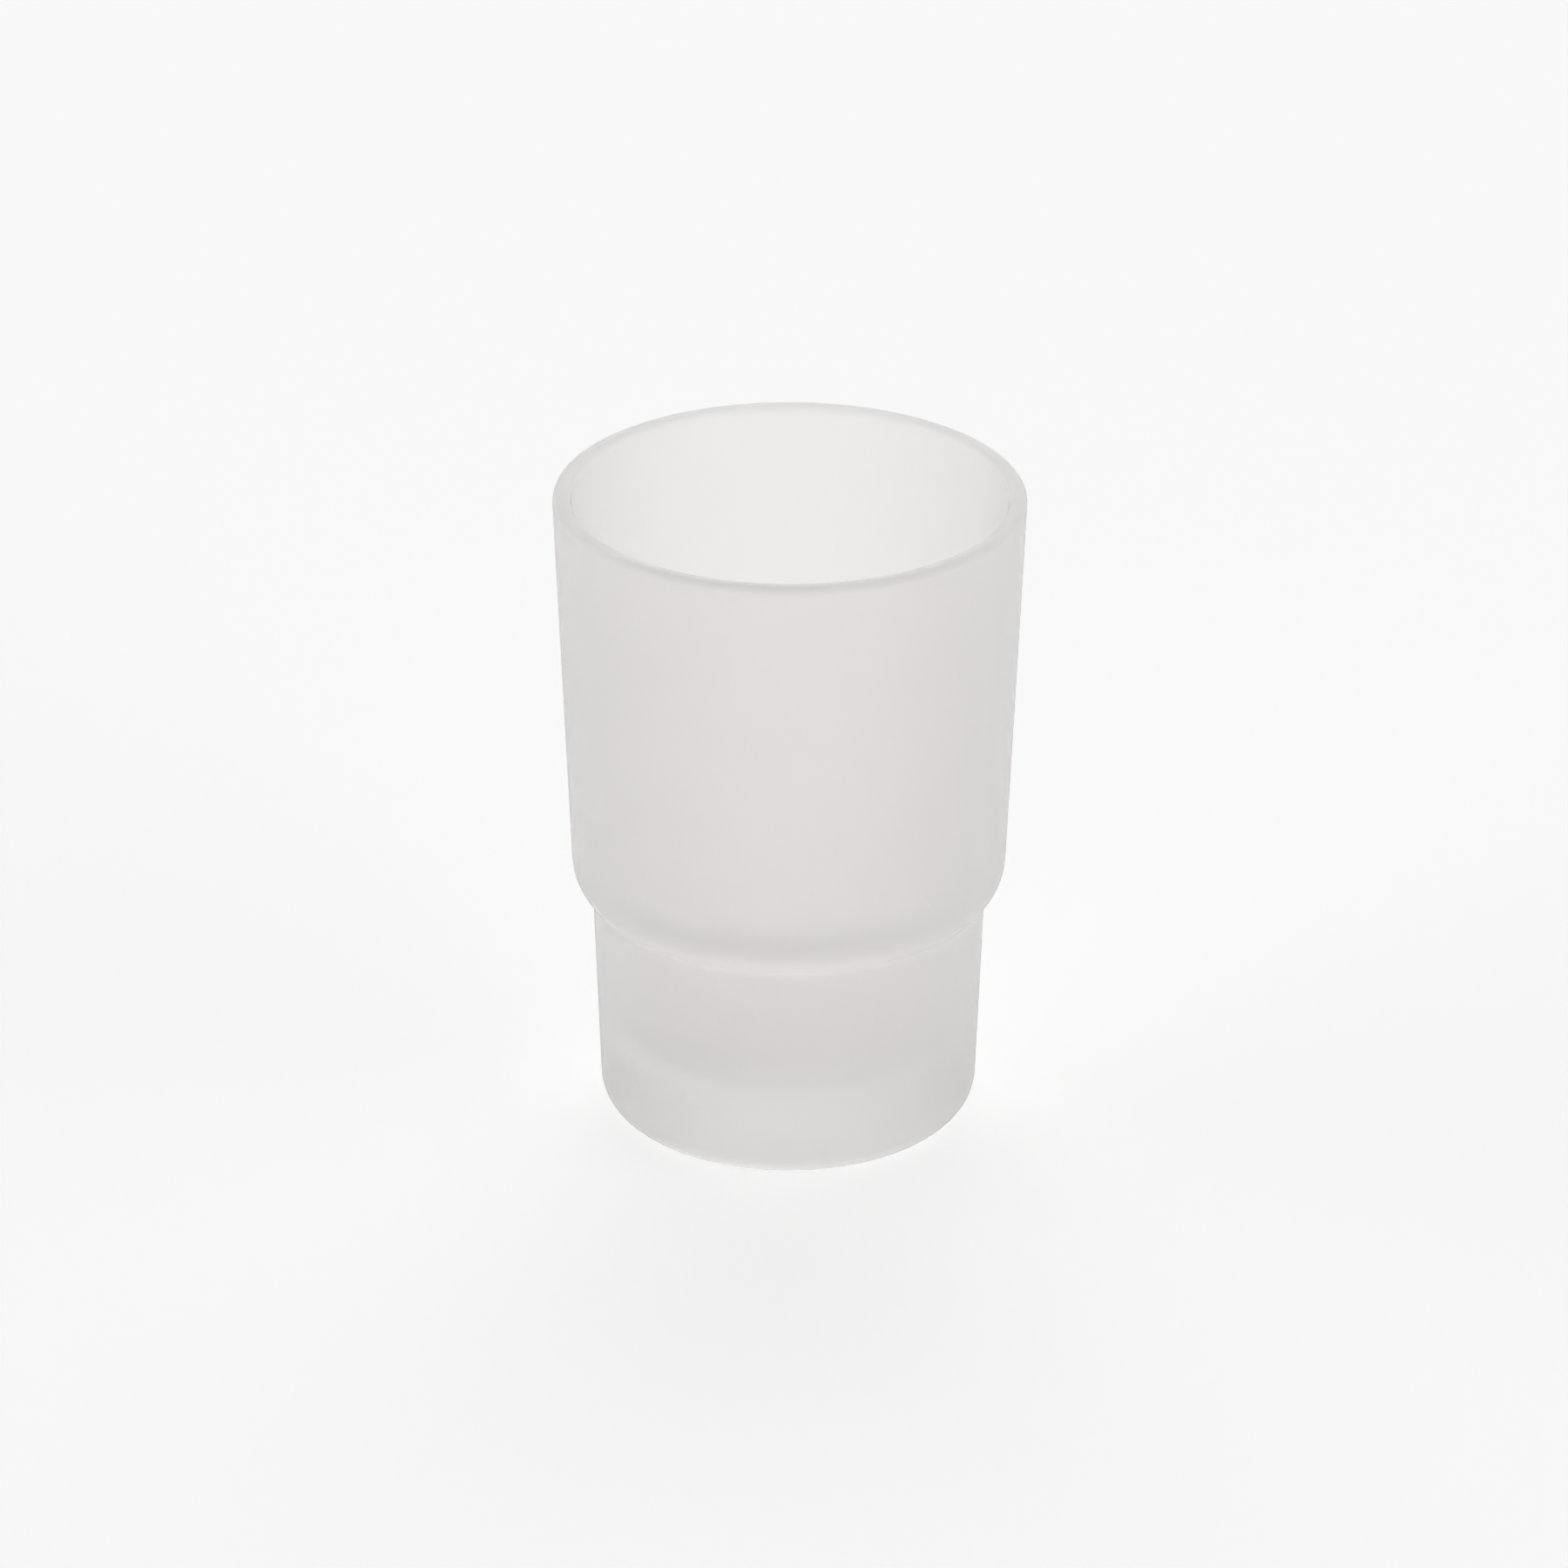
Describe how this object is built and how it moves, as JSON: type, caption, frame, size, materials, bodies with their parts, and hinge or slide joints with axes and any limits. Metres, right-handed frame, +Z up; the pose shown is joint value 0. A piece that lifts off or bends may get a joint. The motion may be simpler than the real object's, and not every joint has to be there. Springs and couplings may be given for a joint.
{
  "type": "bathroom tumbler",
  "caption": "Frosted glass bathroom tumbler: tapered upper body, round stepped shoulder, narrower lower body and heavy rounded foot; stands free or hangs by its step in a wall ring.",
  "frame": {"origin": "on the axis, at the level of the ring that the tumbler stands on", "axes": "+Z up along the axis of revolution, towards the rim; X and Y are alike"},
  "size_m": [0.07, 0.07, 0.1],
  "materials": {
    "frosted_glass": "fine etched frosting, satin all over"
  },
  "bodies": {
    "root": {"tumbler": "frosted_glass"}
  },
  "joints": []
}
